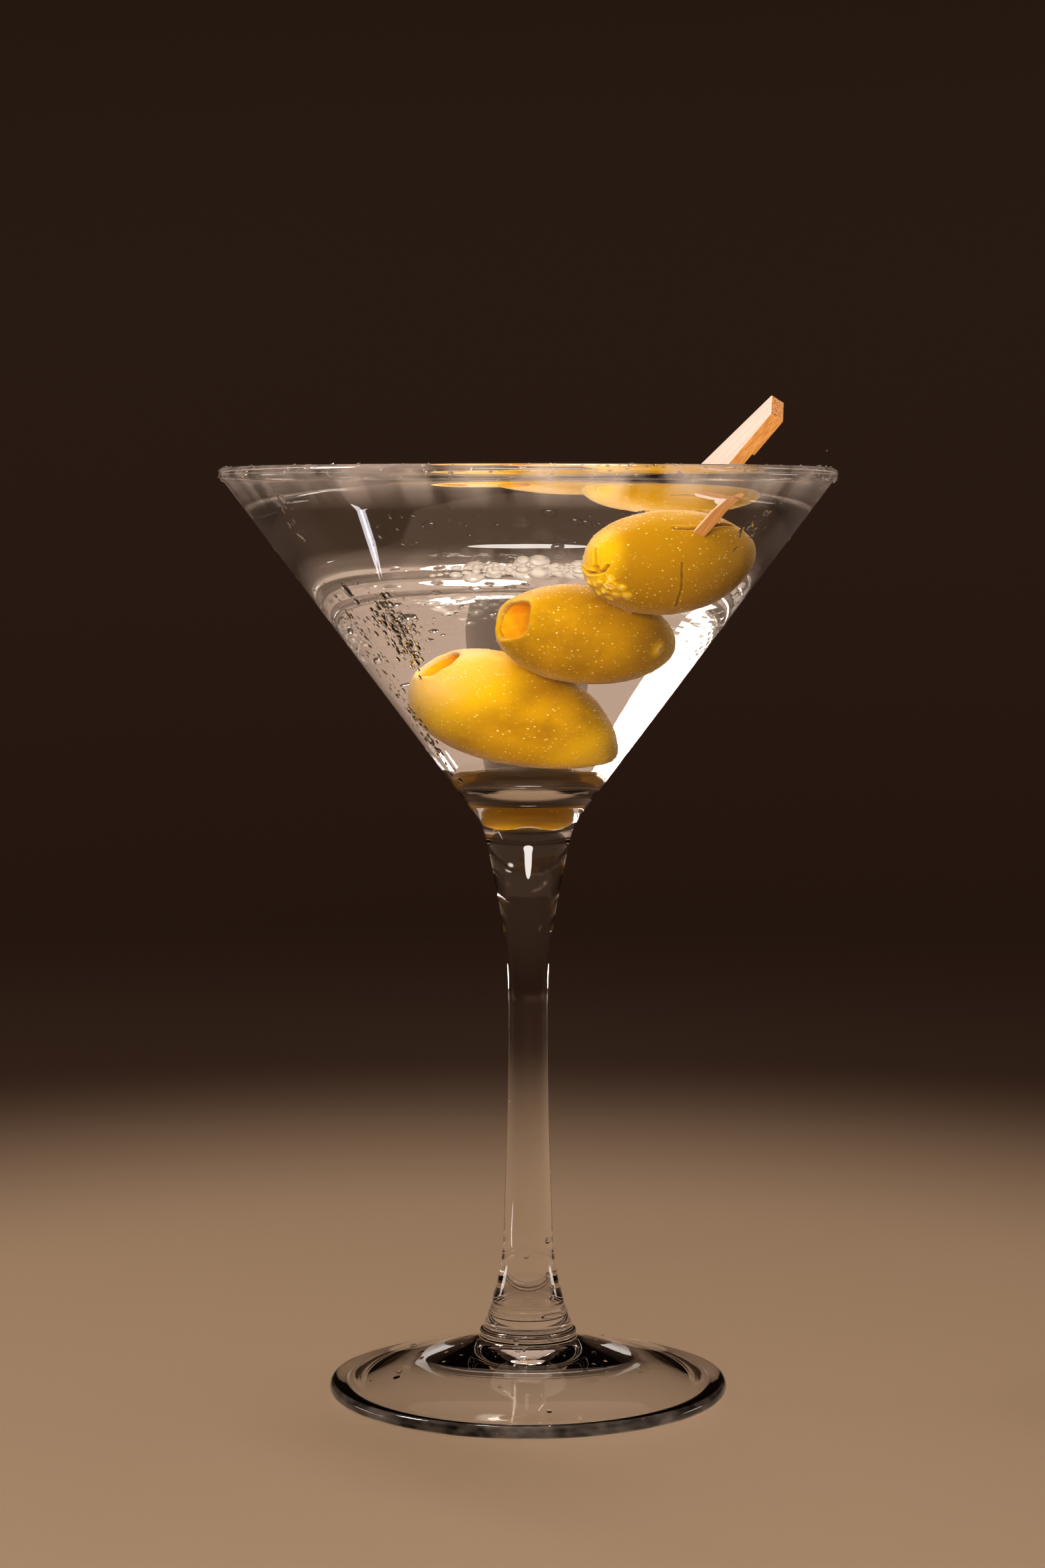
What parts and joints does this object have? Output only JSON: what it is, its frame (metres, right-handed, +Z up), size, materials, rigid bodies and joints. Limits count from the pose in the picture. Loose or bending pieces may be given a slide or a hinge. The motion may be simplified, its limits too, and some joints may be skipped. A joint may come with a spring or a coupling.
{
  "type": "martini cocktail",
  "caption": "Clear cocktail filled almost to the brim of a cone-bowl stemmed glass, with pitted green olives threaded on a flat-handled bamboo pick.",
  "frame": {"origin": "centre of the foot's contact plane, on the glass's axis", "axes": "+Z up along the glass's axis; the front, where the pit holes and the pick's handle show, faces -Y, with the handle leaning to +X"},
  "size_m": [0.1164, 0.1164, 0.1889],
  "materials": {
    "glass": "clear polished glass",
    "drink": "clear liquid, very faint straw tint",
    "olive": "waxy golden green olive skin, finely frosted",
    "bamboo": "plain sanded bamboo"
  },
  "bodies": {
    "root": {"glass": "glass", "drink": "drink", "olive_top": "olive", "olive_middle": "olive", "olive_bottom": "olive", "pick": "bamboo"}
  },
  "joints": []
}
